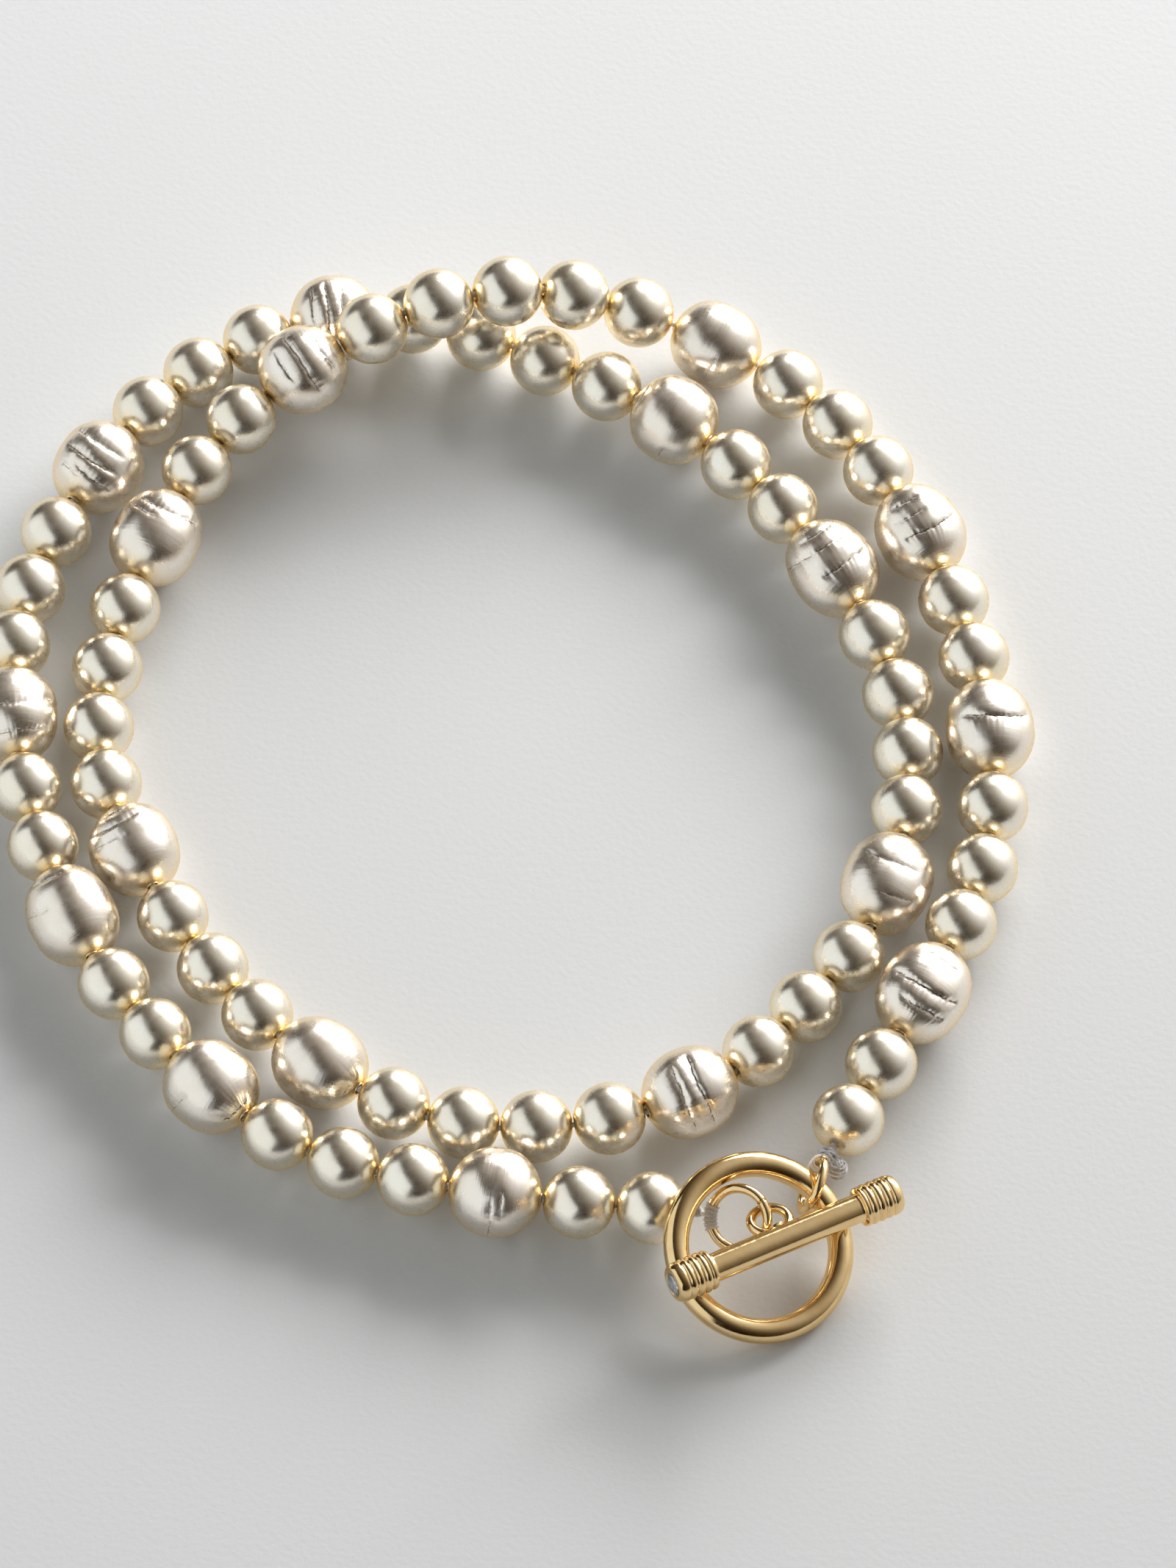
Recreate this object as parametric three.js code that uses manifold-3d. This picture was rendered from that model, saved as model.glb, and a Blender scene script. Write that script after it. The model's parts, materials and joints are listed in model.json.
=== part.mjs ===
// Pearl necklace lying on a table: one strand of round and baroque pearls, doubled into
// two loops that cross at the top, closed by a toggle clasp. Millimetres, +Z up, table at z = 0.
import * as THREE from 'three';
import Module from 'manifold-3d';

const wasm = await Module();
wasm.setup();

// ---- pearls ----
const ROUND_R = 4.0;         // round pearl radius
const ROUND_HALF = 4.02;     // half of the thread length that one round pearl takes
const BAROQUE_R = 5.1;       // largest baroque radius; each is trimmed to rest on the table
const END_GAP = 0.32;        // baroque end to the point where it meets its neighbour
const BORE_R = 0.75;         // hole through a baroque pearl
const THREAD_R = 0.4;        // thread core
const TIP_GAP = 0.3;         // the core stops this far before the next contact
const SIDES = 12;            // facets round a pearl

// Strand in order from the bar end to the ring end: round pearls in each run, with one
// baroque pearl between runs. BAROQUE_HALF holds half of each baroque's thread length.
const RUNS = [2, 3, 2, 2, 3, 3, 4, 2, 4, 3, 4, 3, 4, 2, 5, 3, 2, 3, 2];
const BAROQUE_HALF = [
  5.2, 5.5, 6.0, 5.7, 5.7, 5.1, 5.1, 6.0, 6.3, 5.5, 5.6, 5.6, 5.9, 5.1, 5.6, 5.8, 6.1, 6.2,
];
const ROOT_RUN = 10;         // counted from 0: the run whose core passes through the baroques on both sides

// Thread route, from the bar end round the outer loop, under the crossing, round the inner
// loop, over the crossing and down to the ring end.
const ROUTE = [
  [20.6, -54.5, 4.6], [12.8, -53.6, 4.2], [0.5, -52.9, 5.3], [-18.5, -47.8, 4.1],
  [-30.9, -40.2, 5.4], [-40.7, -27.8, 4.4], [-47.4, -17.6, 5.5], [-51.8, -3.2, 4.4],
  [-54.8, 10.9, 5.4], [-53.3, 27.2, 4.1], [-45.5, 44.2, 5.4], [-34.6, 57.7, 4.1],
  [-20.3, 64.6, 5.3], [-5.9, 64.0, 4.3], [8.3, 57.2, 4.2], [19.4, 50.4, 5.5],
  [27.8, 43.0, 4.4], [37.9, 29.0, 5.3], [45.0, 10.4, 4.0], [43.4, -11.7, 5.4],
  [34.8, -26.4, 4.2], [19.9, -40.8, 5.3], [-2.2, -43.4, 4.0], [-18.6, -37.2, 5.3],
  [-32.0, -22.7, 4.2], [-41.0, -7.3, 5.3], [-45.2, 9.6, 4.1], [-39.6, 33.2, 5.0],
  [-31.5, 47.2, 6.3], [-23.2, 54.5, 8.8], [-10.8, 59.8, 12.7], [1.7, 62.8, 13.1],
  [11.7, 64.0, 8.9], [25.2, 60.8, 4.4], [37.8, 50.5, 4.4], [48.6, 31.7, 5.2],
  [51.8, 21.3, 4.4], [54.8, 7.9, 5.5], [53.3, -10.4, 4.1], [46.3, -27.1, 5.4],
  [39.5, -39.7, 4.3], [36.0, -47.2, 4.8],
];

// ---- clasp ----
const RING = { centre: [28.13, -59.62, 5.19], normal: [0.246, -0.329, 0.912], radius: 9.25, wire: 1.4 };
const BAR = { left: [18.72, -67.15, 9.7], right: [43.19, -53.8, 7.2], rod: 1.6, cap: 2.3, cap_length: 4.8 };
const BAR_EYE = { away: [-0.443, 0.857, -0.261], offset: 3.3, radius: 2.1, wire: 0.55 };
const BAR_LINK = { from: [22.9, -55.9, 5.5], to: [29.1, -57.6, 7.4], faces: [0, -0.62, 0.78], wire: 0.55 };
const RING_LINK = { normal: [-0.912, 0.181, 0.37], at: [34.0, -52.67, 6.14], shift: 0.45, radius: 2.95, wire: 0.53 };
const CRYSTAL = { radius: 1.2, seat: 1.32, depth: 0.8, proud: 0.25 };
const THREAD = { wire: 0.3, eye_a: 1.5, eye_b: 1.35, knot_a: 0.75, knot_b: 1.35 };

// ---- colours ----
const LOOKS = {
  round: { color: 0xe9e1d4, roughness: 0.22, metalness: 0.15 },
  baroque: { color: 0xe6d9cc, roughness: 0.3, metalness: 0.12 },
  gold: { color: 0xd8a648, roughness: 0.2, metalness: 1 },
  crystal: { color: 0xeef3f8, roughness: 0.05, metalness: 0 },
  thread: { color: 0xdcd2c8, roughness: 0.7, metalness: 0 },
};

const vec = (a) => new THREE.Vector3(...a);
const UP = vec([0, 0, 1]);
const group = new THREE.Group();

function add(name, geometry, look) {
  const mesh = new THREE.Mesh(geometry, new THREE.MeshStandardMaterial(LOOKS[look]));
  mesh.name = name;
  group.add(mesh);
  return mesh;
}

// ---- route ----
function routePoints() {
  const p = ROUTE.map(vec);
  const n = p.length;
  const before = p[0].clone().multiplyScalar(2).sub(p[1]);
  const after = p[n - 1].clone().multiplyScalar(2).sub(p[n - 2]);
  const beyond = p[n - 1].clone().multiplyScalar(3).sub(p[n - 2].clone().multiplyScalar(2));
  return [before, ...p, after, beyond];
}

// A point on the smooth curve through the route, s = 0 at its first point, 1 at its second.
function onRoute(points, s) {
  const k = Math.min(Math.max(Math.floor(s), 0), points.length - 4);
  const t = s - k;
  const [a, b, c, d] = points.slice(k, k + 4);
  const w = [
    -t + 2 * t * t - t ** 3, 2 - 5 * t * t + 3 * t ** 3, t + 4 * t * t - 3 * t ** 3, -t * t + t ** 3,
  ].map((x) => x / 2);
  return vec([0, 0, 0]).addScaledVector(a, w[0]).addScaledVector(b, w[1])
    .addScaledVector(c, w[2]).addScaledVector(d, w[3]);
}

// The points where neighbouring pearls meet: each pearl spans its own length along the route.
function contacts(lengths) {
  const points = routePoints();
  const out = [onRoute(points, 0)];
  let s = 0;
  for (const length of lengths) {
    const from = out[out.length - 1];
    let high = s + 0.05;
    while (onRoute(points, high).distanceTo(from) < length) high += 0.05;
    let low = high - 0.05;
    for (let i = 0; i < 40; i++) {
      const middle = (low + high) / 2;
      if (onRoute(points, middle).distanceTo(from) < length) low = middle;
      else high = middle;
    }
    s = (low + high) / 2;
    out.push(onRoute(points, s));
  }
  return out;
}

// ---- bodies made of rings of points ----
// A frame whose axis runs along the thread, with one side level and the other pointing up.
function threadFrame(axis) {
  const side = UP.clone().cross(axis).normalize();
  return { axis, side, rise: axis.clone().cross(side) };
}

function ring(centre, frame, along, radius, sides = SIDES) {
  const out = [];
  for (let i = 0; i < sides; i++) {
    const a = (2 * Math.PI * i) / sides;
    out.push(centre.clone().addScaledVector(frame.axis, along)
      .addScaledVector(frame.side, radius * Math.cos(a)).addScaledVector(frame.rise, radius * Math.sin(a)));
  }
  return out;
}

// Joins rings one after another; an open row gets flat ends, a closed row runs back to its start.
function skin(rings, closed = false) {
  const sides = rings[0].length;
  const at = rings.flat().flatMap((p) => [p.x, p.y, p.z]);
  const index = [];
  const rows = closed ? rings.length : rings.length - 1;
  for (let r = 0; r < rows; r++) {
    const a = r * sides;
    const b = ((r + 1) % rings.length) * sides;
    for (let i = 0; i < sides; i++) {
      const j = (i + 1) % sides;
      index.push(a + i, a + j, b + j, a + i, b + j, b + i);
    }
  }
  if (!closed) {
    const last = (rings.length - 1) * sides;
    for (let i = 1; i < sides - 1; i++) {
      index.push(0, i + 1, i, last, last + i, last + i + 1);
    }
  }
  const geometry = new THREE.BufferGeometry();
  geometry.setAttribute('position', new THREE.Float32BufferAttribute(at, 3));
  geometry.setIndex(index);
  geometry.computeVertexNormals();
  return geometry;
}

const POLES = [9, 38, 70, 110, 142, 171].map((d) => (d * Math.PI) / 180);

function roundRings(from, to) {
  const frame = threadFrame(to.clone().sub(from).normalize());
  const centre = from.clone().add(to).multiplyScalar(0.5);
  return POLES.map((a) => ring(centre, frame, -ROUND_R * Math.cos(a), ROUND_R * Math.sin(a)));
}

// One baroque pearl, bored through, with shallow ring-shaped furrows round it.
function baroque(from, to, number) {
  const frame = threadFrame(to.clone().sub(from).normalize());
  const centre = from.clone().add(to).multiplyScalar(0.5);
  const half = from.distanceTo(to) / 2 - END_GAP;
  const fat = Math.min(BAROQUE_R, centre.z - 0.16 * half * Math.abs(frame.axis.z));
  const lean = 0.03 * Math.sin(number * 2.4);
  const outer = [
    [-1, 0.24], [-0.86, 0.56], [-0.56, 0.87 - lean], [-0.2, 0.985], [0.16, 1], [0.52, 0.89 + lean],
    [0.85, 0.58], [1, 0.25],
  ];
  const rings = outer.map(([s, r]) => ring(centre, frame, s * half, r * fat));
  rings.push(ring(centre, frame, half, BORE_R), ring(centre, frame, -half, BORE_R));
  return skin(rings, true);
}

// ---- the strand ----
const counts = RUNS.flatMap((n, i) => (i < BAROQUE_HALF.length ? [n, 'b'] : [n]));
const lengths = [];
const parts = [];            // { kind, first, last } as numbers of pearls along the strand
let pearl = 0;
let baroqueCount = 0;
for (const c of counts) {
  const many = c === 'b' ? 1 : c;
  for (let i = 0; i < many; i++) lengths.push(2 * (c === 'b' ? BAROQUE_HALF[baroqueCount] : ROUND_HALF));
  if (c === 'b') baroqueCount += 1;
  parts.push({ kind: c === 'b' ? 'baroque' : 'run', first: pearl, last: pearl + many - 1 });
  pearl += many;
}
const meets = contacts(lengths);
const two = (n) => String(n).padStart(2, '0');

// The core of a run passes on through the baroque on its far side from the root run.
function coreRings(through, backwards) {
  const [near, far] = backwards
    ? [meets[through + 1], meets[through]] : [meets[through], meets[through + 1]];
  const frame = threadFrame(meets[through + 1].clone().sub(meets[through]).normalize());
  const reach = near.distanceTo(far) - TIP_GAP;
  const sign = backwards ? -1 : 1;
  const rings = [ring(near, frame, 0, THREAD_R), ring(near, frame, sign * reach, THREAD_R)];
  return backwards ? rings.reverse() : rings;
}

parts.forEach((part, n) => {
  if (part.kind === 'baroque') {
    add(`baroque_${two((n + 1) / 2)}`, baroque(meets[part.first], meets[part.first + 1], n), 'baroque');
    return;
  }
  const run = n / 2;
  const rings = [];
  if (run <= ROOT_RUN && run > 0) rings.push(...coreRings(part.first - 1, true));
  for (let i = part.first; i <= part.last; i++) rings.push(...roundRings(meets[i], meets[i + 1]));
  if (run >= ROOT_RUN && run < RUNS.length - 1) rings.push(...coreRings(part.last + 1, false));
  add(`pearl_run_${two(run + 1)}`, skin(rings), 'round');
});

// ---- round wire bent into a ring ----
function wireRing(centre, normal, radius, wire, around = 20, sides = 8, squeeze = 1) {
  const n = normal.clone().normalize();
  const a = Math.abs(n.z) > 0.9 ? vec([1, 0, 0]) : UP.clone();
  const e1 = a.cross(n).normalize();
  const e2 = n.clone().cross(e1);
  const rings = [];
  for (let i = 0; i < around; i++) {
    const t = (2 * Math.PI * i) / around;
    const out = e1.clone().multiplyScalar(Math.cos(t)).addScaledVector(e2, Math.sin(t));
    const row = [];
    for (let j = 0; j < sides; j++) {
      const u = (2 * Math.PI * (j + 0.5)) / sides;
      row.push(centre.clone().addScaledVector(out, radius + wire * Math.cos(u))
        .addScaledVector(n, -wire * squeeze * Math.sin(u)));
    }
    rings.push(row);
  }
  return skin(rings, true);
}

// A turned shape along any line: [along, radius] pairs that start and end on the axis.
function turned(from, axis, profile, sides = 16) {
  const points = profile.map(([s, r]) => new THREE.Vector2(r, s));
  const geometry = new THREE.LatheGeometry(points, sides);
  const turn = new THREE.Quaternion().setFromUnitVectors(vec([0, 1, 0]), axis);
  geometry.applyQuaternion(turn).translate(from.x, from.y, from.z);
  return geometry;
}

function solid(geometry) {
  const g = geometry.clone();
  g.deleteAttribute('normal');
  g.deleteAttribute('uv');
  const key = new Map();
  const at = [];
  const src = g.getAttribute('position');
  const renumber = [];
  for (let i = 0; i < src.count; i++) {
    const p = [src.getX(i), src.getY(i), src.getZ(i)];
    const k = p.map((x) => x.toFixed(4)).join();
    if (!key.has(k)) {
      key.set(k, at.length / 3);
      at.push(...p);
    }
    renumber.push(key.get(k));
  }
  const order = g.index ? [...g.index.array] : renumber.map((_, i) => i);
  const tri = [];
  for (let i = 0; i < order.length; i += 3) {
    const [a, b, c] = [renumber[order[i]], renumber[order[i + 1]], renumber[order[i + 2]]];
    if (a !== b && b !== c && c !== a) tri.push(a, b, c);
  }
  return new wasm.Manifold(new wasm.Mesh({
    numProp: 3, vertProperties: Float32Array.from(at), triVerts: Uint32Array.from(tri),
  }));
}

function unite(geometries) {
  const mesh = geometries.map(solid).reduce((a, b) => a.add(b)).getMesh();
  const geometry = new THREE.BufferGeometry();
  geometry.setAttribute('position', new THREE.BufferAttribute(Float32Array.from(mesh.vertProperties), 3));
  geometry.setIndex(new THREE.BufferAttribute(Uint32Array.from(mesh.triVerts), 1));
  geometry.computeVertexNormals();
  return geometry;
}

// ---- toggle ring ----
add('toggle_ring', wireRing(vec(RING.centre), vec(RING.normal), RING.radius, RING.wire, 32, 12), 'gold');

// ---- toggle bar with ribbed caps, a crystal seat in each end and an eye on its side ----
const left = vec(BAR.left);
const right = vec(BAR.right);
const along = right.clone().sub(left).normalize();
const middle = left.clone().add(right).multiplyScalar(0.5);
const reach = left.distanceTo(right) / 2;

function barProfile() {
  const end = [[CRYSTAL.depth, 0], [CRYSTAL.depth, CRYSTAL.seat], [0, CRYSTAL.seat], [0, 1.7]];
  const ribs = 4;
  const rib = (BAR.cap_length - 0.2) / ribs;
  for (let i = 0; i < ribs; i++) {
    const s = 0.2 + i * rib;
    end.push([s, 2.02], [s + rib * 0.3, BAR.cap], [s + rib * 0.7, BAR.cap]);
  }
  end.push([BAR.cap_length, 2.0], [BAR.cap_length + 0.02, BAR.rod]);
  const low = end.map(([s, r]) => [s - reach, r]);
  return [...low, ...low.map(([s, r]) => [-s, r]).reverse()];
}

const away = vec(BAR_EYE.away);
away.addScaledVector(along, -away.dot(along)).normalize();
const eye = middle.clone().addScaledVector(away, BAR_EYE.offset);
add('toggle_bar', unite([
  turned(middle, along, barProfile()),
  wireRing(eye, along.clone().cross(away), BAR_EYE.radius, BAR_EYE.wire, 18),
]), 'gold');

// ---- crystals: a table, a crown and a point that sits in the seat ----
function crystal(seat, outward) {
  const c = CRYSTAL;
  const profile = [
    [0.1 - c.depth, 0], [-0.12, c.radius], [0, c.radius], [c.proud, c.radius * 0.58], [c.proud, 0],
  ];
  return turned(seat, outward, profile, 8);
}
add('bar_crystal_left', crystal(left, along.clone().negate()), 'crystal');
add('bar_crystal_right', crystal(right, along.clone()), 'crystal');

// ---- jump rings ----
const linkFrom = vec(BAR_LINK.from);
const linkTo = vec(BAR_LINK.to);
const span = linkTo.clone().sub(linkFrom).normalize();
const faces = vec(BAR_LINK.faces);
faces.addScaledVector(span, -faces.dot(span)).normalize();
const linkCentre = linkFrom.clone().add(linkTo).multiplyScalar(0.5);
const linkRadius = linkFrom.distanceTo(linkTo) / 2;
add('bar_link', wireRing(linkCentre, faces, linkRadius, BAR_LINK.wire, 20), 'gold');

const strandEnd = meets[meets.length - 1];
const lastPearl = meets[meets.length - 2].clone().add(strandEnd).multiplyScalar(0.5);
const endWay = strandEnd.clone().sub(lastPearl).normalize();
const knotB = strandEnd.clone().addScaledVector(endWay, 0.2 + THREAD.knot_b);
const ringLinkNormal = vec(RING_LINK.normal).normalize();
const tube = vec(RING_LINK.at);
const toKnot = knotB.clone().sub(tube);
toKnot.addScaledVector(ringLinkNormal, -toKnot.dot(ringLinkNormal)).normalize();
const ringLinkCentre = tube.clone().addScaledVector(toKnot, RING_LINK.shift);
add('ring_link', wireRing(ringLinkCentre, ringLinkNormal, RING_LINK.radius, RING_LINK.wire, 20), 'gold');

// ---- thread ends: a knot at the last pearl and an eye round the jump ring ----
function threadEnd(knot, knotRadius, hold, holdTangent, radius) {
  const way = knot.clone().sub(hold).normalize();
  const centre = hold.clone().addScaledVector(way, radius - THREAD.wire - 0.85);
  const normal = way.clone().cross(way.clone().cross(holdTangent)).normalize();
  const ball = [[-1, 0], [-0.8, 0.6], [-0.3, 0.95], [0.3, 0.95], [0.8, 0.6], [1, 0]]
    .map(([s, r]) => [s * knotRadius, r * knotRadius]);
  return unite([
    wireRing(centre, normal, radius, THREAD.wire, 16, 6),
    turned(knot, way, ball, 10),
  ]);
}
const strandStart = meets[0];
const startWay = strandStart.clone().sub(meets[1]).normalize();
const knotA = strandStart.clone().addScaledVector(startWay, 0.25 + THREAD.knot_a);
add('thread_end_bar', threadEnd(knotA, THREAD.knot_a, linkFrom,
  faces.clone().cross(span), THREAD.eye_a), 'thread');
const hold = ringLinkCentre.clone().addScaledVector(toKnot, RING_LINK.radius);
add('thread_end_ring', threadEnd(knotB, THREAD.knot_b, hold,
  ringLinkNormal.clone().cross(toKnot), THREAD.eye_b), 'thread');

export default group;
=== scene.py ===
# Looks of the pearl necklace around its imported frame: every pearl, the bead thread, the gold
# toggle clasp with its jump rings and crystals, and a plain table in soft studio light.
import json
import math

import bpy
import numpy as np
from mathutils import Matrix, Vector


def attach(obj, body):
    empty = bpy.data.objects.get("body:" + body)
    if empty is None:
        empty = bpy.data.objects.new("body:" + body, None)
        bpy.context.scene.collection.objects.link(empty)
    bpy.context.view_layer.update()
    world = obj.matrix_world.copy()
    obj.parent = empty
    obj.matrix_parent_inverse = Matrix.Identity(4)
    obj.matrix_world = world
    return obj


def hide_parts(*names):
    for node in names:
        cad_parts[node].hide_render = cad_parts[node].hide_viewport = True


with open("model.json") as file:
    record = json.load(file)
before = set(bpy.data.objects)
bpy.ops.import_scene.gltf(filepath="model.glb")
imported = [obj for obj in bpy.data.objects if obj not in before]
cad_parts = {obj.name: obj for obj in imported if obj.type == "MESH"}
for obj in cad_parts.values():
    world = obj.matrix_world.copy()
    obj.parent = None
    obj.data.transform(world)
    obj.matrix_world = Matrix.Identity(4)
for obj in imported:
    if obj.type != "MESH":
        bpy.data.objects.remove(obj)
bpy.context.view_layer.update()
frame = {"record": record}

MM = 0.001                  # all sizes and places below are in millimetres

# ---- the strand, as in the part's own source ----
ROUND_R = 4.0               # radius of a round pearl
ROUND_HALF = 4.02           # half of the thread that one round pearl takes
BAROQUE_R = 5.1             # largest radius of a baroque pearl
# Round pearls in each run, from the bar's end, and half of the thread that the baroque pearl
# after each run takes.
RUNS = [2, 3, 2, 2, 3, 3, 4, 2, 4, 3, 4, 3, 4, 2, 5, 3, 2, 3, 2]
BAROQUE_HALF = [
    5.2, 5.5, 6.0, 5.7, 5.7, 5.1, 5.1, 6.0, 6.3, 5.5, 5.6, 5.6, 5.9, 5.1, 5.6, 5.8, 6.1, 6.2,
]
ROOT_RUN = 10               # counted from 0: its thread passes through the baroque pearls on both sides
# Places that the thread passes through, from the bar's end to the ring's end.
ROUTE = [
    [20.6, -54.5, 4.6], [12.8, -53.6, 4.2], [0.5, -52.9, 5.3], [-18.5, -47.8, 4.1],
    [-30.9, -40.2, 5.4], [-40.7, -27.8, 4.4], [-47.4, -17.6, 5.5], [-51.8, -3.2, 4.4],
    [-54.8, 10.9, 5.4], [-53.3, 27.2, 4.1], [-45.5, 44.2, 5.4], [-34.6, 57.7, 4.1],
    [-20.3, 64.6, 5.3], [-5.9, 64.0, 4.3], [8.3, 57.2, 4.2], [19.4, 50.4, 5.5],
    [27.8, 43.0, 4.4], [37.9, 29.0, 5.3], [45.0, 10.4, 4.0], [43.4, -11.7, 5.4],
    [34.8, -26.4, 4.2], [19.9, -40.8, 5.3], [-2.2, -43.4, 4.0], [-18.6, -37.2, 5.3],
    [-32.0, -22.7, 4.2], [-41.0, -7.3, 5.3], [-45.2, 9.6, 4.1], [-39.6, 33.2, 5.0],
    [-31.5, 47.2, 6.3], [-23.2, 54.5, 8.8], [-10.8, 59.8, 12.7], [1.7, 62.8, 13.1],
    [11.7, 64.0, 8.9], [25.2, 60.8, 4.4], [37.8, 50.5, 4.4], [48.6, 31.7, 5.2],
    [51.8, 21.3, 4.4], [54.8, 7.9, 5.5], [53.3, -10.4, 4.1], [46.3, -27.1, 5.4],
    [39.5, -39.7, 4.3], [36.0, -47.2, 4.8],
]
THREAD_TIP_GAP = 0.3        # a thread stops this far short of the next one

# ---- the clasp, as in the part's own source ----
RING = {"centre": [28.13, -59.62, 5.19], "normal": [0.246, -0.329, 0.912], "radius": 9.25, "wire": 1.4}
BAR = {"left": [18.72, -67.15, 9.7], "right": [43.19, -53.8, 7.2], "rod": 1.6}
BAR_EYE = {"away": [-0.443, 0.857, -0.261], "offset": 3.3, "radius": 2.1, "wire": 0.55}
BAR_LINK = {"from": [22.9, -55.9, 5.5], "to": [29.1, -57.6, 7.4], "faces": [0, -0.62, 0.78], "wire": 0.55}
RING_LINK = {
    "normal": [-0.912, 0.181, 0.37], "at": [34.0, -52.67, 6.14], "shift": 0.45, "radius": 2.95, "wire": 0.53,
}
CRYSTAL = {"radius": 1.2, "seat": 1.32, "depth": 0.8, "proud": 0.25}
KNOT_A, KNOT_B = 0.75, 1.35     # radius of the knot at the bar's end and at the ring's end

# ---- where the camera stands ----
CAMERA_TARGET = np.array([9.6, 4.3, 0.0])
CAMERA_DISTANCE = 1572.3
CAMERA_ELEVATION = math.radians(56.39)
CAMERA_LENS = 323.9
TO_CAMERA = np.array([0.0, -math.cos(CAMERA_ELEVATION), math.sin(CAMERA_ELEVATION)])

UP = np.array([0.0, 0.0, 1.0])
ALONG_X = np.array([1.0, 0.0, 0.0])
BODY_OF = {node: body for body, nodes in frame["record"]["behaviour"]["bodies"].items() for node in nodes}


def unit(v):
    v = np.asarray(v, float)
    return v / np.linalg.norm(v)


def smooth_step(x):
    x = np.clip(x, 0.0, 1.0)
    return x * x * (3 - 2 * x)


def full_circle(count):
    return np.arange(count) * 2 * np.pi / count


def not_along(axis):
    """Up, or X where the axis itself stands nearly upright."""
    return UP if abs(axis[2]) < 0.9 else ALONG_X


def across(axis, towards=UP):
    """Two directions square to the axis; the second one leans towards the given direction."""
    side = unit(np.cross(towards, axis))
    return side, np.cross(axis, side)


def directions(angles, side, rise):
    """Directions at these angles, counted from side towards rise."""
    return np.cos(angles)[:, None] * side + np.sin(angles)[:, None] * rise


# ---- route ----
def route_points():
    """The places of the route, carried on straight at both ends for the curve to begin and end on."""
    p = np.array(ROUTE)
    return np.vstack([2 * p[0] - p[1], p, 2 * p[-1] - p[-2], 3 * p[-1] - 2 * p[-2]])


def on_route(points, s):
    """A point of the Catmull-Rom curve; s counts the places of the route."""
    k = min(max(int(s), 0), len(points) - 4)
    t = s - k
    w = np.array([
        -t + 2 * t * t - t**3, 2 - 5 * t * t + 3 * t**3, t + 4 * t * t - 3 * t**3, -t * t + t**3,
    ]) / 2
    return w @ points[k:k + 4]


def contacts(lengths):
    """The points where neighbouring pearls meet, each pearl spanning its own length."""
    step = 0.05
    points = route_points()
    out = [on_route(points, 0.0)]
    s = 0.0
    for length in lengths:
        high = s + step
        while np.linalg.norm(on_route(points, high) - out[-1]) < length:
            high += step
        low = high - step
        for _ in range(40):
            middle = (low + high) / 2
            if np.linalg.norm(on_route(points, middle) - out[-1]) < length:
                low = middle
            else:
                high = middle
        s = (low + high) / 2
        out.append(on_route(points, s))
    return np.array(out)


# ---- meshes from rows of points ----
def grid_object(name, rows, material, wrap=True):
    """A skin through rows of points, each row closed on itself. wrap joins the last row to the first,
    and otherwise both ends get a flat cap."""
    rows = np.asarray(rows, float)
    m, n = rows.shape[:2]
    r, c = np.meshgrid(np.arange(m if wrap else m - 1), np.arange(n), indexing="ij")
    above, right = (r + 1) % m, (c + 1) % n
    quads = np.stack([r * n + c, r * n + right, above * n + right, above * n + c], -1).reshape(-1, 4)
    u = np.stack([c, c + 1, c + 1, c], -1).reshape(-1) / n
    v = np.stack([r, r, r + 1, r + 1], -1).reshape(-1) / m
    faces = quads.tolist()
    if not wrap:
        faces += [list(range(n))[::-1], list(range((m - 1) * n, m * n))]
    mesh = bpy.data.meshes.new(name)
    mesh.from_pydata((rows.reshape(-1, 3) * MM).tolist(), [], faces)
    uv = np.zeros((len(mesh.loops), 2))
    uv[:len(u), 0], uv[:len(u), 1] = u, v
    mesh.uv_layers.new(name="round_and_along").data.foreach_set("uv", uv.ravel())
    mesh.polygons.foreach_set("use_smooth", [True] * len(faces))
    mesh.materials.append(material)
    obj = bpy.data.objects.new(name, mesh)
    bpy.context.scene.collection.objects.link(obj)
    return obj


def turned_rows(centre, axis, outline, sides, towards=UP):
    """Rows of points of a turned shape. outline holds [along, radius] pairs."""
    circle = directions(full_circle(sides), *across(axis, towards))
    s, r = np.asarray(outline, float).T
    return np.asarray(centre) + s[:, None, None] * axis + r[:, None, None] * circle[None]


def tube_rows(path, radius, sides, ply, twist):
    """Rows of points of a two-ply thread along a path. ply is how deep the groove between the plies
    is, as a share of the radius, and twist is how far they turn each millimetre, in radians."""
    path = np.asarray(path, float)
    ahead = np.roll(path, -1, 0) - path
    behind = path - np.roll(path, 1, 0)
    ahead[-1], behind[0] = behind[-1], ahead[0]
    way = ahead / np.linalg.norm(ahead, axis=1)[:, None] + behind / np.linalg.norm(behind, axis=1)[:, None]
    way /= np.linalg.norm(way, axis=1)[:, None]
    side = unit(np.cross(way[0], not_along(way[0])))
    sides_at = []
    for w in way:
        side = unit(side - w * (side @ w))
        sides_at.append(side)
    sides_at = np.array(sides_at)
    rises = np.cross(way, sides_at)
    length = np.concatenate([[0], np.cumsum(np.linalg.norm(np.diff(path, axis=0), axis=1))])
    a = full_circle(sides)
    r = radius * (1 + ply * (np.cos(2 * (a[None] - twist * length[:, None])) - 1) / 2)
    return path[:, None] + r[..., None] * (
        np.cos(a)[None, :, None] * sides_at[:, None] + np.sin(a)[None, :, None] * rises[:, None])


def wire_ring_rows(centre, normal, radius, wire, around, sides, gap=0.0, start=0.0):
    """Rows of a round wire bent into a ring. gap leaves the ring open by that many millimetres, and
    start is the angle at which the wire starts."""
    normal = unit(normal)
    span = 2 * np.pi - gap / radius
    t = start + (np.arange(around) * span / (around - 1 if gap else around))
    out = directions(t, *across(normal, not_along(normal)))
    a = full_circle(sides)
    return np.asarray(centre) + out[:, None] * (radius + wire * np.cos(a))[None, :, None] - (
        normal * wire * np.sin(a)[:, None])[None]


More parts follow.
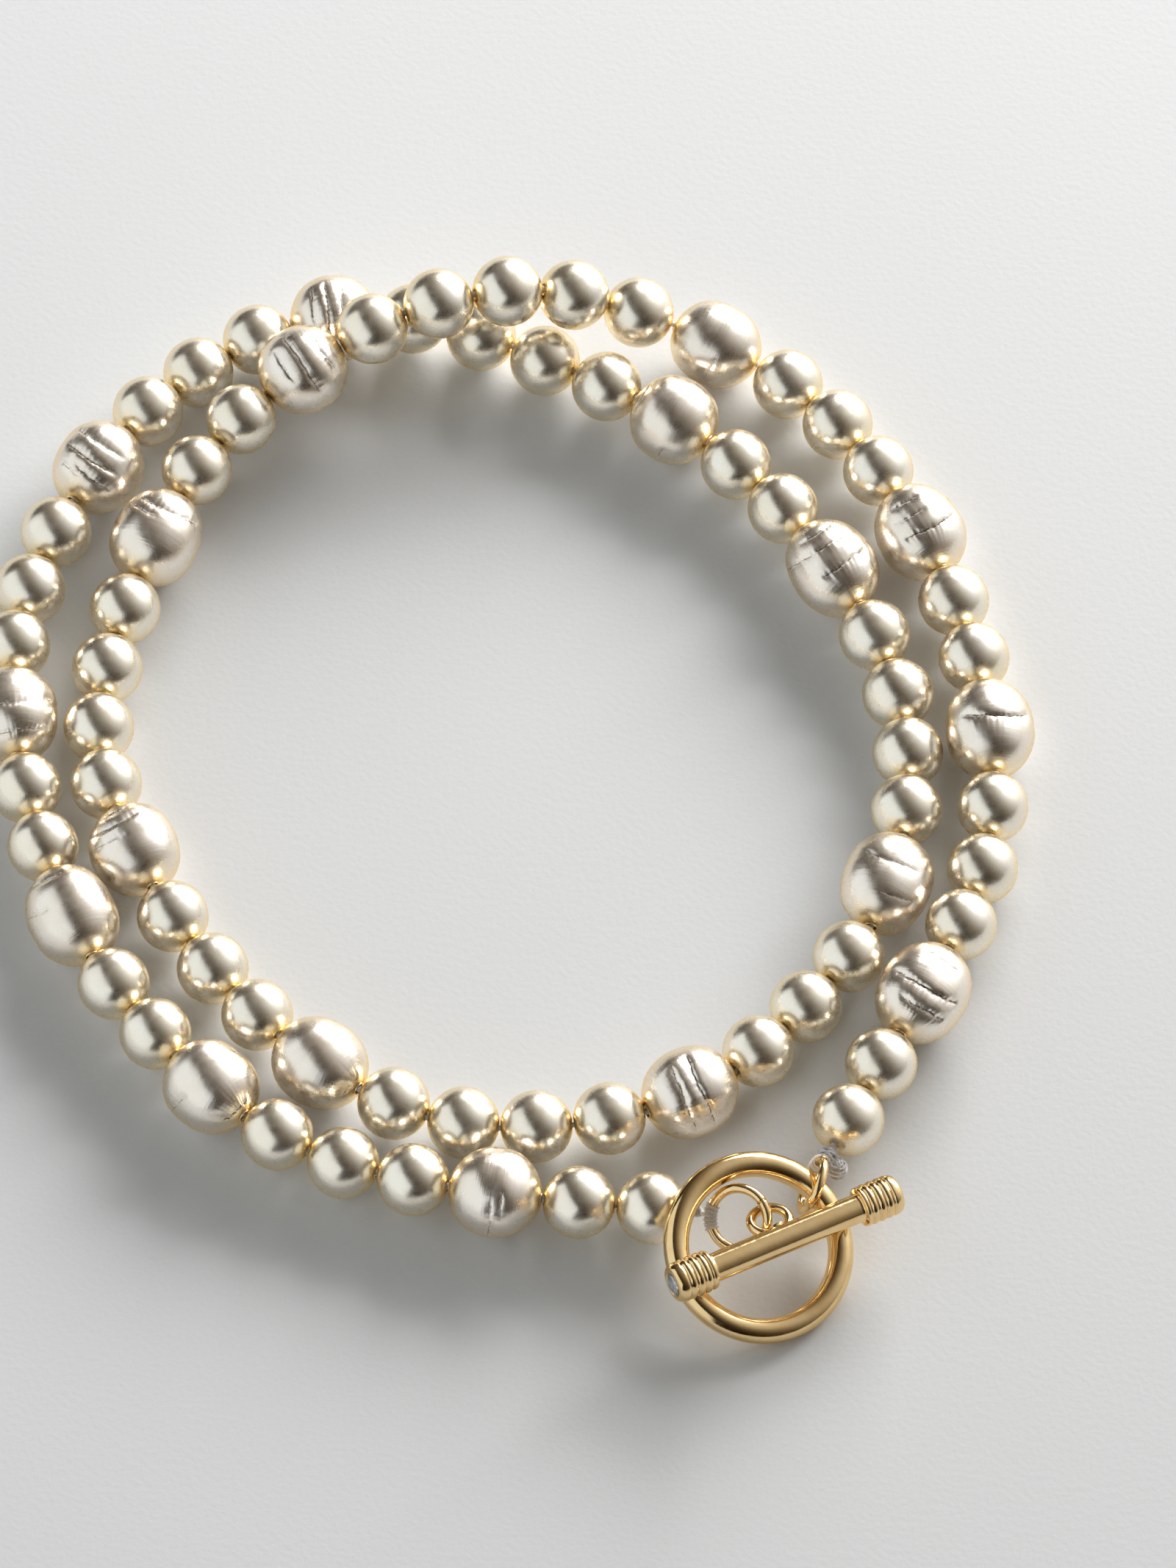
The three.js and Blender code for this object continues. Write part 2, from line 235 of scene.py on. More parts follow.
# ---- materials ----
def new_material(name):
    material = bpy.data.materials.new(name)
    material.use_nodes = True
    tree = material.node_tree
    return material, tree, tree.nodes["Principled BSDF"]


def fill(tree, node, inputs):
    """Give a node's inputs their values: a link from a socket, and otherwise a constant."""
    for key, value in inputs.items():
        if isinstance(value, bpy.types.NodeSocket):
            tree.links.new(value, node.inputs[key])
        else:
            node.inputs[key].default_value = value


def put(tree, kind, inputs=None, **settings):
    node = tree.nodes.new(kind)
    for key, value in settings.items():
        setattr(node, key, value)
    fill(tree, node, inputs or {})
    return node


def noise(tree, where, scale, detail=2.0, roughness=0.5):
    node = put(tree, "ShaderNodeTexNoise", {
        "Vector": where, "Scale": scale, "Detail": detail, "Roughness": roughness})
    return node.outputs["Fac"]


def ramp(tree, factor, stops):
    """Colours that blend along the factor. stops holds a place and a colour for each."""
    node = put(tree, "ShaderNodeValToRGB", {"Fac": factor})
    while len(node.color_ramp.elements) < len(stops):
        node.color_ramp.elements.new(0.5)
    for element, (position, colour) in zip(node.color_ramp.elements, stops):
        element.position = position
        element.color = (*colour, 1)
    return node.outputs["Color"]


def spread(tree, value, low, high, to_low, to_high):
    """Carry the stretch from low to high over to the one from to_low to to_high, held at its ends."""
    node = put(tree, "ShaderNodeMapRange", {
        "Value": value, "From Min": low, "From Max": high, "To Min": to_low, "To Max": to_high})
    return node.outputs["Result"]


def calc(tree, operation, *values):
    return put(tree, "ShaderNodeMath", dict(enumerate(values)), operation=operation).outputs["Value"]


def mix(tree, factor, first, second):
    node = put(tree, "ShaderNodeMix", {"Factor": factor, "A": first, "B": second}, data_type="RGBA")
    return node.outputs["Result"]


def bump(tree, height, distance, strength=1.0, after=None):
    """A bumped normal, laid over the one given as after."""
    inputs = {"Height": height, "Distance": distance, "Strength": strength}
    if after is not None:
        inputs["Normal"] = after
    return put(tree, "ShaderNodeBump", inputs).outputs["Normal"]


def frame_place(tree):
    return put(tree, "ShaderNodeTexCoord").outputs["Object"]


def surface_place(tree):
    """Place on a mesh made of rows: X runs round each row, and Y along the rows."""
    return put(tree, "ShaderNodeTexCoord").outputs["UV"]


def painted_crease_shade_and_glints(tree, place, colour):
    """The pearl's colour with painted shade, broken dark lines along the bottom of the creases, and
    painted highlights, broken pale glints just ahead of them, and how strong a painted glint is. The
    crease attribute holds a sine, a cosine and a strength: the angle that the first two tell reaches
    180 degrees at one millimetre from the crease."""
    crease = put(tree, "ShaderNodeAttribute", attribute_name="crease").outputs["Vector"]
    part = put(tree, "ShaderNodeSeparateXYZ", {"Vector": crease}).outputs
    jitter = spread(tree, noise(tree, place, 4200, 3, 0.7), 0.3, 0.7, -0.16, 0.16)
    off = calc(tree, "ADD", part["X"], jitter)
    near = spread(tree, part["Y"], 0.0, 0.2, 0, 1)
    here = calc(tree, "MULTIPLY", near, part["Z"])
    dashes = spread(tree, noise(tree, place, 1300, 2), 0.42, 0.52, 0, 1)
    glints = spread(tree, noise(tree, place, 2300, 2), 0.44, 0.52, 0, 1)

    def line(middle, half, broken):
        away = calc(tree, "ABSOLUTE", calc(tree, "SUBTRACT", off, middle))
        mark = spread(tree, away, half, half * 1.8, 1, 0)
        return calc(tree, "MULTIPLY", calc(tree, "MULTIPLY", mark, here), broken)

    # painted shade: a dark brown broken line along each crease's bottom; painted highlight: a pale broken
    # glint line just ahead of it
    dark, painted_glint = line(-0.08, 0.13, dashes), line(0.34, 0.16, glints)
    shade = mix(tree, dark, colour, (0.26, 0.17, 0.11, 1))
    return mix(tree, painted_glint, shade, (1, 0.97, 0.92, 1)), painted_glint


def pearl_material(name, pale, deep, hole, outside, roughness, wrinkles):
    """Pearl coating: a satin mirror with a cream tint, cloudy overtones, fine grain and pits, and a
    painted warm glow round the drill holes, which stands for light bounced between neighbouring pearls.
    outside is the share of the rows that lie on the outside, and wrinkles is how strongly fine wrinkles
    run round the pearl, which then has painted shade and painted glints along its creases too."""
    material, tree, shader = new_material(name)
    place, surface = frame_place(tree), surface_place(tree)
    cream = ramp(tree, noise(tree, place, 260, 3), [(0.35, pale), (0.7, deep)])
    along = put(tree, "ShaderNodeSeparateXYZ", {"Vector": surface}).outputs["Y"]
    # painted bounce light: a warm golden tint near the drill holes, where neighbouring pearls meet
    painted_bounce_near_holes = ramp(tree, along, [
        (0.0, (1, 1, 1)), (0.24 * outside, (0, 0, 0)), (0.76 * outside, (0, 0, 0)), (outside, (1, 1, 1))])
    colour = mix(tree, painted_bounce_near_holes, cream, (*hole, 1))
    metal = 0.97
    normal = bump(tree, noise(tree, place, 5200, 4, 0.65), 0.000004)
    pits = put(tree, "ShaderNodeTexVoronoi", {"Vector": place, "Scale": 520}).outputs["Distance"]
    normal = bump(tree, spread(tree, pits, 0.02, 0.05, 0, 1), 0.000008, 0.5, normal)
    if wrinkles:
        # painted shade and painted glints along the creases; a glint drops its metal so that its pale colour
        # shows
        colour, painted_glint = painted_crease_shade_and_glints(tree, place, colour)
        metal = spread(tree, painted_glint, 0, 1, metal, 0.2)
        stretched = put(tree, "ShaderNodeMapping", {"Vector": surface, "Scale": (2.2, 46, 1)})
        wrinkle = noise(tree, stretched.outputs["Vector"], 1.0, 5, 0.62)
        normal = bump(tree, wrinkle, 0.00009 * wrinkles, 1.0, normal)
    fill(tree, shader, {
        "Base Color": colour, "Metallic": metal, "Normal": normal,
        "Roughness": spread(tree, noise(tree, place, 900, 4), 0.3, 0.7, roughness - 0.04, roughness + 0.05),
        "Specular Tint": (1.0, 0.82, 0.52, 1), "Coat Weight": 0.15, "Coat Roughness": 0.12,
    })
    return material


def gold_material():
    material, tree, shader = new_material("polished_gold")
    place = frame_place(tree)
    tone = noise(tree, place, 420, 3)
    waves = bump(tree, noise(tree, place, 480), 0.00002)
    fill(tree, shader, {
        "Base Color": ramp(tree, tone, [(0.3, (0.93, 0.70, 0.38)), (0.7, (0.86, 0.61, 0.30))]),
        "Roughness": spread(tree, noise(tree, place, 1500, 5, 0.6), 0.3, 0.7, 0.10, 0.18),
        "Normal": bump(tree, noise(tree, place, 6500, 3), 0.000003, 1.0, waves),
        "Metallic": 1.0, "Specular Tint": (1.0, 0.92, 0.72, 1),
    })
    return material


def thread_material():
    """Pale twisted thread that lets a little light through."""
    material, tree, shader = new_material("pale_thread")
    fibres = noise(tree, frame_place(tree), 2600, 4, 0.7)
    fill(tree, shader, {
        "Base Color": ramp(tree, fibres, [(0.3, (0.95, 0.86, 0.80)), (0.65, (1.0, 0.97, 0.95))]),
        "Roughness": spread(tree, fibres, 0.3, 0.7, 0.45, 0.7), "Normal": bump(tree, fibres, 0.00006),
        "Subsurface Weight": 0.6, "Subsurface Radius": (0.0006, 0.0005, 0.0004), "Subsurface Scale": 1.0,
        "Sheen Weight": 0.8, "Sheen Roughness": 0.5,
    })
    return material


def crystal_material():
    material, tree, shader = new_material("clear_crystal")
    cloud = noise(tree, frame_place(tree), 1500)
    fill(tree, shader, {
        "Base Color": ramp(tree, cloud, [(0.3, (0.93, 0.96, 1.0)), (0.7, (1.0, 1.0, 1.0))]),
        "Roughness": spread(tree, cloud, 0.3, 0.7, 0.01, 0.04), "Transmission Weight": 0.85, "IOR": 1.6,
    })
    return material


def foil_material():
    """The silvered back that sends light out through a crystal again, with painted dark reflections in
    patches that follow its crumples.
    """
    material, tree, shader = new_material("silver_foil")
    crumple_and_painted_dark = noise(tree, frame_place(tree), 1300, 1)
    fill(tree, shader, {
        # painted shade: near-black patches stand for the dark flashes of the cut stone
        "Base Color": ramp(tree, crumple_and_painted_dark, [(0.41, (0.04, 0.05, 0.08)), (0.47, (0.96, 0.98, 1.0))]),
        "Normal": bump(tree, crumple_and_painted_dark, 0.00005), "Metallic": 1.0, "Roughness": 0.2,
    })
    return material


# hole is a painted warm glow of light bounced between neighbouring pearls, near the drill holes
ROUND_PEARL = pearl_material(
    "round_pearl", pale=(0.97, 0.92, 0.82), deep=(0.96, 0.88, 0.73), hole=(1.0, 0.85, 0.56),
    outside=0.85, roughness=0.27, wrinkles=0)
BAROQUE_PEARL = pearl_material(
    "baroque_pearl", pale=(0.97, 0.91, 0.83), deep=(0.95, 0.86, 0.75), hole=(1.0, 0.84, 0.58),
    outside=0.945, roughness=0.28, wrinkles=0.3)
GOLD = gold_material()
PALE_THREAD = thread_material()
CLEAR_CRYSTAL = crystal_material()
SILVER_FOIL = foil_material()


def piece(obj, node):
    """Let a piece ride along with the frame's node that it stands for."""
    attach(obj, BODY_OF[node])
    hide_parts(node)


# ---- round pearls ----
ROUND_BORE = 0.5
ROUND_MOUTH = 0.74          # radius at which the outside turns in to the bore
ROUND_SIDES = 56
ROUND_ROWS = 34


def round_outline(radius):
    """Along and radius, over the outside from hole to hole and back through the bore."""
    mouth = math.asin(ROUND_MOUTH / radius)
    a = np.linspace(mouth, math.pi - mouth, ROUND_ROWS)
    outside = np.stack([-radius * np.cos(a), radius * np.sin(a)], 1)
    lip = outside[-1][0]
    bore = [[lip - 0.06, ROUND_BORE + 0.1], [lip - 0.2, ROUND_BORE], [1.3, ROUND_BORE]]
    return np.vstack([outside, bore, [[-s, r] for s, r in reversed(bore)]])


def round_pearl(number, start, end, node):
    """A pearl of nearly the full radius, and a little out of round, as grown ones are."""
    chance = np.random.default_rng(100 + number)
    radius = ROUND_R * (1 - 0.006 * chance.random())
    centre = (start + end) / 2
    rows = turned_rows(centre, unit(end - start), round_outline(radius), ROUND_SIDES)
    squeeze = 0.004 * chance.random()
    bulge = np.cos(2 * full_circle(ROUND_SIDES) + 6.3 * chance.random())
    rows = centre + (rows - centre) * (1 - squeeze * (1 + bulge))[None, :, None]
    piece(grid_object(f"pearl_{number:02d}", rows, ROUND_PEARL), node)


# ---- baroque pearls ----
BAROQUE_SIDES = 144
BAROQUE_ROWS = 104
BAROQUE_BORE = 0.62
BAROQUE_POWER = 2.3         # the outline is an ellipse at 2, and blunter above it
BAROQUE_END = 0.1           # gap between a baroque pearl and its neighbour
WIDE_END = {5: 0.26, 9: 0.26, 12: 0.26, 15: 0.38}   # wider gaps where the strand bends most
CREASE_SLOPE, CREASE_WALL = 0.8, 0.3    # how far a crease reaches ahead of its bottom and behind it
# Furrows of each baroque pearl: [along, from, to, depth, slant]. along is where the viewer sees it, as
# a share of the half length. from and to are degrees round the pearl from the side that faces the
# viewer, to the left of the thread's way if above 0. depth is in millimetres, and slant is how far the
# furrow drifts along the pearl over a quarter turn, in millimetres.
FURROWS = [
    [[0.05, 10, 70, 0.10, 0.0], [-0.15, -5, 35, 0.09, 0.0]],
    [[-0.68, -48, 44, 0.26, 0.2], [0.30, 30, 75, 0.08, 0.0]],
    [[0.33, 20, 70, 0.09, 0.2], [0.82, -20, 55, 0.13, 0.2]],
    [[0.25, -70, 20, 0.16, 0.1], [-0.30, -60, 40, 0.12, 0.0]],
    [[-0.24, -40, 35, 0.15, 0.1], [0.06, -30, 62, 0.22, -0.2], [0.43, -22, 65, 0.18, -0.3],
     [-0.36, 20, 65, 0.1, 0.1]],
    [[-0.42, -10, 55, 0.14, 0.1], [-0.10, -25, 60, 0.20, 0.0], [0.24, -20, 60, 0.14, 0.1]],
    [[-0.90, -40, 45, 0.16, 0.0], [0.1, -75, -45, 0.08, 0.0]],
    [[-0.44, -85, 48, 0.17, 0.2], [0.04, -20, 62, 0.19, 0.1], [-0.72, -20, 40, 0.1, 0.1],
     [0.72, 5, 35, 0.12, 0.0]],
    [[0.14, -5, 45, 0.07, 0.0], [-0.44, -50, 35, 0.09, 0.0]],
    [[-0.24, -52, 62, 0.26, 0.0], [0.14, -45, 62, 0.26, 0.2]],
    [[-0.72, 5, 40, 0.18, 0.0], [-0.76, -40, -10, 0.12, 0.0]],
    [[0.40, 0, 50, 0.10, 0.1], [0.66, -30, 60, 0.13, 0.1], [0.88, -30, 30, 0.10, 0.1]],
    [[0.40, 10, 60, 0.12, 0.2], [0.58, -50, 45, 0.20, 0.1]],
    [[-0.33, -10, 45, 0.15, 0.0], [0.05, -40, 65, 0.14, 0.0], [0.57, -38, 30, 0.22, 0.1]],
    [[0.10, -50, -20, 0.07, 0.3]],
    [[-0.68, -18, 22, 0.16, 0.0], [-0.40, -25, 20, 0.13, 0.0], [0.0, -28, 65, 0.22, 0.4]],
    [[-0.27, -35, 62, 0.27, 0.6]],
    [[-0.14, -60, 50, 0.28, -0.1], [0.22, -32, 50, 0.24, 0.0], [-0.70, -30, 30, 0.10, 0.1]],
]


def baroque_outline(half, fat):
    """Along and radius of the rows on the outside, and of those in the bore."""
    spacing = 0.46 * np.pi      # rows lie closer together near the holes
    t = np.sin(np.linspace(-1, 1, BAROQUE_ROWS) * spacing) / math.sin(spacing)
    r = fat * np.sqrt(np.maximum(1 - np.abs(t) ** BAROQUE_POWER, 0))
    r = np.maximum(r, BAROQUE_BORE + 0.12)
    bore = [[half - 0.05, BAROQUE_BORE + 0.04], [half - 0.2, BAROQUE_BORE], [half * 0.4, BAROQUE_BORE]]
    return np.stack([t * half, r], 1), np.array(bore + [[-s, q] for s, q in reversed(bore)])


def as_seen(place, angle, half, fat, tilt):
    """Where along the pearl a furrow lies that the viewer sees at this share of its half length. tilt
    is the sine of the angle by which the thread's way leans towards the viewer."""
    flat = math.sqrt(1 - tilt * tilt)
    low, high = np.full_like(angle, -0.96 * half), np.full_like(angle, 0.96 * half)
    for _ in range(24):
        middle = (low + high) / 2
        radius = fat * np.sqrt(1 - np.abs(middle / half) ** BAROQUE_POWER)
        beyond = middle * flat - radius * tilt * np.maximum(np.cos(angle), 0) > place * half
        low, high = np.where(beyond, low, middle), np.where(beyond, middle, high)
    return (low + high) / 2


def furrow_relief(along, angle, half, fat, tilt, furrows, chance):
    """How far the skin stands out, in millimetres, at each along and angle from the viewer's side, and
    the crease attribute of the pearl's material."""
    relief = np.zeros_like(along)
    nearest = np.full_like(along, np.inf)
    crease = np.zeros((*along.shape, 3))
    crease[..., 1] = -1.0       # far from every crease
    for place, first, last, depth, slant in furrows:
        middle, reach = math.radians(first + last) / 2, math.radians(last - first) / 2
        off = np.angle(np.exp(1j * (angle - middle)))
        window = smooth_step((reach + 0.12 - np.abs(off)) / 0.3)
        phase = chance.random(4) * 6.3
        wobble = 0.07 * np.sin(5 * angle + phase[0]) + 0.035 * np.sin(17 * angle + phase[1])
        jag = 0.03 * np.sin(47 * angle + phase[2])
        d = along - (as_seen(place, angle, half, fat, tilt) + slant * np.sin(off) + wobble + jag)
        rough = 1 + 0.2 * np.sin(29 * angle + phase[3]) * np.sin(13 * angle)
        fold = -(0.04 + 1.2 * depth) * rough * np.exp(np.where(d > 0, -d / CREASE_SLOPE, d / CREASE_WALL))
        ripple = 0.14 * depth * np.sin(61 * angle + 40 * d + phase[0]) * np.exp(-(d / 0.22) ** 2)
        relief += window * (fold + ripple)
        closer = np.abs(d) < nearest
        nearest = np.where(closer, np.abs(d), nearest)
        turn = np.pi * np.clip(d, -1, 1)
        strength = window * min(1.0, 0.35 + 3.0 * depth)
        crease[closer] = np.stack([np.sin(turn), np.cos(turn), strength], -1)[closer]
    return relief, crease


def lumps(t, a, chance):
    """Uneven growth over the whole pearl, and the two furrows on its far side."""
    p = chance.random(8) * 6.3
    relief = 0.055 * np.sin(2 * a + p[0] + 1.5 * t) + 0.04 * np.sin(3 * a + p[1] - 2.0 * t)
    relief += 0.035 * np.sin(5.0 * t + p[2] + 0.8 * np.sin(a + p[3]))
    relief += 0.018 * np.sin(11 * t + p[4] + 1.2 * np.sin(2 * a + p[5]))
    hidden = [[0.55 * np.sin(p[6]), 110, 175, 0.12, 0.1], [0.6 * np.sin(p[7]), -165, -100, 0.14, 0.1]]
    return relief - 0.1, hidden


def baroque_pearl(number, start, end):
    chance = np.random.default_rng(500 + number)
    axis = unit(end - start)
    centre = (start + end) / 2
    half = np.linalg.norm(end - start) / 2 - WIDE_END.get(number, BAROQUE_END)
    fat = min(BAROQUE_R, centre[2] - 0.16 * half * abs(axis[2]))     # it stays above the table
    outside, inside = baroque_outline(half, fat)
    a = full_circle(BAROQUE_SIDES)
    along = outside[:, 0][:, None] * np.ones(BAROQUE_SIDES)[None]
    # the quarter turn of the circle faces the viewer; the angle from it grows towards the left
    angle = np.angle(np.exp(1j * (np.pi / 2 - a)))[None] * np.ones(len(outside))[:, None]
    t = along / half
    growth, hidden = lumps(t, a, chance)
    furrows, crease = furrow_relief(
        along, angle, half, fat, axis @ TO_CAMERA, FURROWS[number - 1] + hidden, chance)
    r = outside[:, 1][:, None] + (growth + furrows) * smooth_step((1 - np.abs(t)) / 0.12)
    out = directions(a, *across(axis, TO_CAMERA))
    skin = centre + along[..., None] * axis + r[..., None] * out[None]
    rows = np.concatenate([skin, turned_rows(centre, axis, inside, BAROQUE_SIDES, TO_CAMERA)])
    obj = grid_object(f"baroque_pearl_{number:02d}", rows, BAROQUE_PEARL)
    # where the painted crease shade and painted glints lie on the skin
    painted_crease_mask = np.zeros(rows.shape)
    painted_crease_mask[..., 1] = -1.0
    painted_crease_mask[:len(crease)] = crease
    obj.data.attributes.new("crease", "FLOAT_VECTOR", "POINT").data.foreach_set("vector", painted_crease_mask.ravel())
    piece(obj, f"baroque_{number:02d}")


# ---- thread ----
BEAD_THREAD = {"radius": 0.38, "sides": 14, "ply": 0.3, "twist": 2.4}
TIE = {"radius": 0.34, "sides": 14, "ply": 0.35, "twist": 2.4}
THREAD_STEP = 0.5           # longest step between the points of a bead thread
RUN_END = 0.05              # a bead thread starts and stops this far inside its own run


def thread(name, path, kind, node):
    piece(grid_object(name, tube_rows(path, **kind), PALE_THREAD, wrap=False), node)


def run_thread(run, meets, first, count):
    """The twisted thread through one run of pearls and through the baroque pearl beyond it. first is
    the run's first pearl, counted along the whole strand."""
    path = list(meets[first:first + count + 1])
    path[0] = path[0] + RUN_END * unit(path[1] - path[0])
    path[-1] = path[-1] - RUN_END * unit(path[-1] - path[-2])
    if 0 < run <= ROOT_RUN:
        beyond, near = meets[first - 1], meets[first]
        path.insert(0, beyond + THREAD_TIP_GAP * unit(near - beyond))
    if ROOT_RUN <= run < len(RUNS) - 1:
        near, beyond = meets[first + count], meets[first + count + 1]
        path.append(beyond - THREAD_TIP_GAP * unit(beyond - near))
    fine = [path[0]]
    for start, end in zip(path[:-1], path[1:]):
        steps = max(int(np.linalg.norm(end - start) / THREAD_STEP), 2)
        fine += [start + (end - start) * i / steps for i in range(1, steps + 1)]
    thread(f"bead_thread_{run + 1:02d}", fine, BEAD_THREAD, f"pearl_run_{run + 1:02d}")


def strand():
    """All pearls and the thread inside them. It returns the points where neighbours meet."""
    lengths, kinds = [], []
    for run, count in enumerate(RUNS):
        lengths += [2 * ROUND_HALF] * count
        kinds += [("round", run)] * count
        if run < len(BAROQUE_HALF):
            lengths.append(2 * BAROQUE_HALF[run])
            kinds.append(("baroque", run))
    meets = contacts(lengths)
    number = 0
    for i, (kind, run) in enumerate(kinds):
        if kind == "baroque":
            baroque_pearl(run + 1, meets[i], meets[i + 1])
        else:
            number += 1
            round_pearl(number, meets[i], meets[i + 1], f"pearl_run_{run + 1:02d}")
    first = 0
    for run, count in enumerate(RUNS):
        run_thread(run, meets, first, count)
        first += count + 1
    return meets


# ---- clasp ----
CAP_RIBS = {"count": 3, "start": 1.3, "width": 0.94}
CROWN = 8                   # facets round a crystal


def cap_outline():
    """Along and radius of one end of the bar, from the seat of the crystal to the rod."""
    seat, depth = CRYSTAL["seat"], CRYSTAL["depth"]
    outline = [[depth, 0.02], [depth, seat - 0.1], [depth - 0.1, seat],
               [0.12, seat + 0.02], [0.0, seat + 0.12], [0.02, seat + 0.26]]
    for x in np.linspace(0.25, 1.5, 9):
        outline.append([0.02 + 1.16 * (1 - math.cos(x)), 1.62 + 0.66 * math.sin(x) ** 0.8])
    outline += [[1.22, 2.2], [1.27, 2.06]]
    start, rib = CAP_RIBS["start"], CAP_RIBS["width"]
    for i in range(CAP_RIBS["count"]):
        for x in np.linspace(0.12, 0.88, 9):
            outline.append([start + (i + x) * rib, 2.0 + 0.3 * math.sin(math.pi * x) ** 0.7])
        outline.append([start + (i + 1) * rib, 1.98])
    flange = start + CAP_RIBS["count"] * rib
    outline += [[flange + 0.05, 2.16], [flange + 0.14, 2.22], [flange + 0.42, 2.22], [flange + 0.52, 2.16],
                [flange + 0.58, 2.0], [flange + 0.6, 1.72], [flange + 0.68, 1.61]]
    return np.array(outline)


def toggle_bar():
    """The rod with its two ribbed caps, the eye soldered on it, and a crystal in each end."""
    left, right = np.array(BAR["left"]), np.array(BAR["right"])
    along = unit(right - left)
    middle = (left + right) / 2
    reach = np.linalg.norm(right - left) / 2
    end = cap_outline()
    low = np.stack([end[:, 0] - reach, end[:, 1]], 1)
    s = np.linspace(low[-1, 0] + 0.3, -low[-1, 0] - 0.3, 24)
    rod = np.stack([s, np.full_like(s, BAR["rod"])], 1)
    high = low[::-1] * [-1, 1]
    rows = turned_rows(middle, along, np.vstack([low, rod, high]), 64)
    piece(grid_object("toggle_bar_rod", rows, GOLD, wrap=False), "toggle_bar")
    away = np.array(BAR_EYE["away"])
    away = unit(away - along * (away @ along))
    eye = middle + away * BAR_EYE["offset"]
    rows = wire_ring_rows(eye, np.cross(along, away), BAR_EYE["radius"], BAR_EYE["wire"], 72, 20)
    piece(grid_object("bar_eye", rows, GOLD), "toggle_bar")
    foot = middle + away * (BAR["rod"] - 0.06)
    fillet = [[0.0, 0.02], [0.0, 1.15], [0.06, 1.02], [0.16, 0.86], [0.3, 0.74], [0.42, 0.02]]
    rows = turned_rows(foot, away, fillet, 32, along)
    piece(grid_object("eye_solder", rows, GOLD, wrap=False), "toggle_bar")
    bar_crystal("left", left, -along)
    bar_crystal("right", right, along)


def bar_crystal(name, seat, outward):
    """A cut stone: table, star and kite facets, a thin girdle and a pointed back, in a foil cup."""
    r, depth, proud = CRYSTAL["radius"], CRYSTAL["depth"], CRYSTAL["proud"]
    side, rise = across(outward, not_along(outward))

    def level(along, radius, turn):
        a = (np.arange(CROWN) + turn) * 2 * np.pi / CROWN
        return seat + outward * along + radius * directions(a, side, rise)

    point = (seat - outward * (depth - 0.14))[None]
    points = np.vstack([
        level(proud, 0.56 * r, 0), level(0.1, 0.86 * r, 0.5), level(-0.02, r, 0), level(-0.1, r, 0), point])
    faces = [list(range(CROWN))]
    for i in range(CROWN):
        after, before = (i + 1) % CROWN, (i - 1) % CROWN
        table, table_after = i, after
        waist, waist_before = CROWN + i, CROWN + before
        upper, upper_after = 2 * CROWN + i, 2 * CROWN + after
        lower, lower_after, tip = 3 * CROWN + i, 3 * CROWN + after, 4 * CROWN
        faces += [
            [table, waist, table_after], [waist, upper, upper_after], [table, waist_before, upper, waist],
            [upper, lower, lower_after, upper_after], [lower, tip, lower_after]]
    mesh = bpy.data.meshes.new(f"crystal_{name}")
    mesh.from_pydata((points * MM).tolist(), [], faces)
    mesh.materials.append(CLEAR_CRYSTAL)
    obj = bpy.data.objects.new(f"crystal_{name}", mesh)
    bpy.context.scene.collection.objects.link(obj)
    piece(obj, f"bar_crystal_{name}")
    cup = [[-depth + 0.02, 0.05], [-0.16, r + 0.04], [-0.1, r + 0.06], [-0.1, r + 0.1], [-depth + 0.02, 0.4],
           [-depth + 0.01, 0.05]]
    rows = turned_rows(seat, outward, cup, 32, not_along(outward))
    piece(grid_object(f"foil_cup_{name}", rows, SILVER_FOIL), f"bar_crystal_{name}")


def clasp_ring():
    rows = wire_ring_rows(RING["centre"], RING["normal"], RING["radius"], RING["wire"], 160, 48)
    piece(grid_object("clasp_ring", rows, GOLD), "toggle_ring")


# ---- jump rings, and the thread that holds them ----
WHIPPING = {"radius": 0.1, "sides": 10, "ply": 0.3, "twist": 3.0}
WHIPPING_REACH = math.radians(24)   # to either side of where the thread holds the ring
STEPS_PER_TURN = 14
KNOT_THREAD = {"sides": 8, "ply": 0.3, "twist": 3.0}
KNOT_TAIL = [1.15, -1.1, -0.4]      # from the knot at the ring's end to its bunched tail
JUMP_RING_SLIT = 0.06
TIE_GAP = 0.85              # a tie stops this far short of the middle of the ring's wire


def bar_link():
    """The jump ring at the bar, and where the thread holds it."""
    held, eye = np.array(BAR_LINK["from"]), np.array(BAR_LINK["to"])
    span = unit(eye - held)
    faces = np.array(BAR_LINK["faces"], float)
    return {
        "centre": (held + eye) / 2, "normal": unit(faces - span * (faces @ span)),
        "radius": np.linalg.norm(eye - held) / 2, "wire": BAR_LINK["wire"], "held": held}


def ring_link(knot_at):
    """The jump ring at the toggle ring, turned towards its knot, and where the thread holds it."""
    normal = unit(RING_LINK["normal"])
    tube = np.array(RING_LINK["at"])
    to_knot = knot_at - tube
    to_knot = unit(to_knot - normal * (to_knot @ normal))
    centre = tube + to_knot * RING_LINK["shift"]
    return {
        "centre": centre, "normal": normal, "radius": RING_LINK["radius"], "wire": RING_LINK["wire"],
        "held": centre + to_knot * RING_LINK["radius"]}


def jump_ring(name, link, node, start):
    """A ring bent from round wire, nearly closed. start is the angle of its slit."""
    rows = wire_ring_rows(
        link["centre"], link["normal"], link["radius"], link["wire"], 90, 24, JUMP_RING_SLIT, start)
    piece(grid_object(name, rows, GOLD, wrap=False), node)


def whipping(name, link, node, turns):
    """Thread wound closely round the wire of a jump ring where the strand holds it."""
    count = turns * STEPS_PER_TURN + 1
    middle = link["held"] - link["centre"]
    middle = unit(middle - link["normal"] * (middle @ link["normal"]))
    arc = np.linspace(-WHIPPING_REACH, WHIPPING_REACH, count)
    outward = directions(arc, middle, np.cross(link["normal"], middle))
    a = 2 * np.pi * turns * np.linspace(0, 1, count)
    swell = 1 + 0.12 * np.sin(a * 0.37)
    winding = ((link["wire"] + WHIPPING["radius"] * 1.15) * swell)[:, None]
    path = link["centre"] + link["radius"] * outward + winding * directions(a, outward, link["normal"])
    thread(name, path, WHIPPING, node)


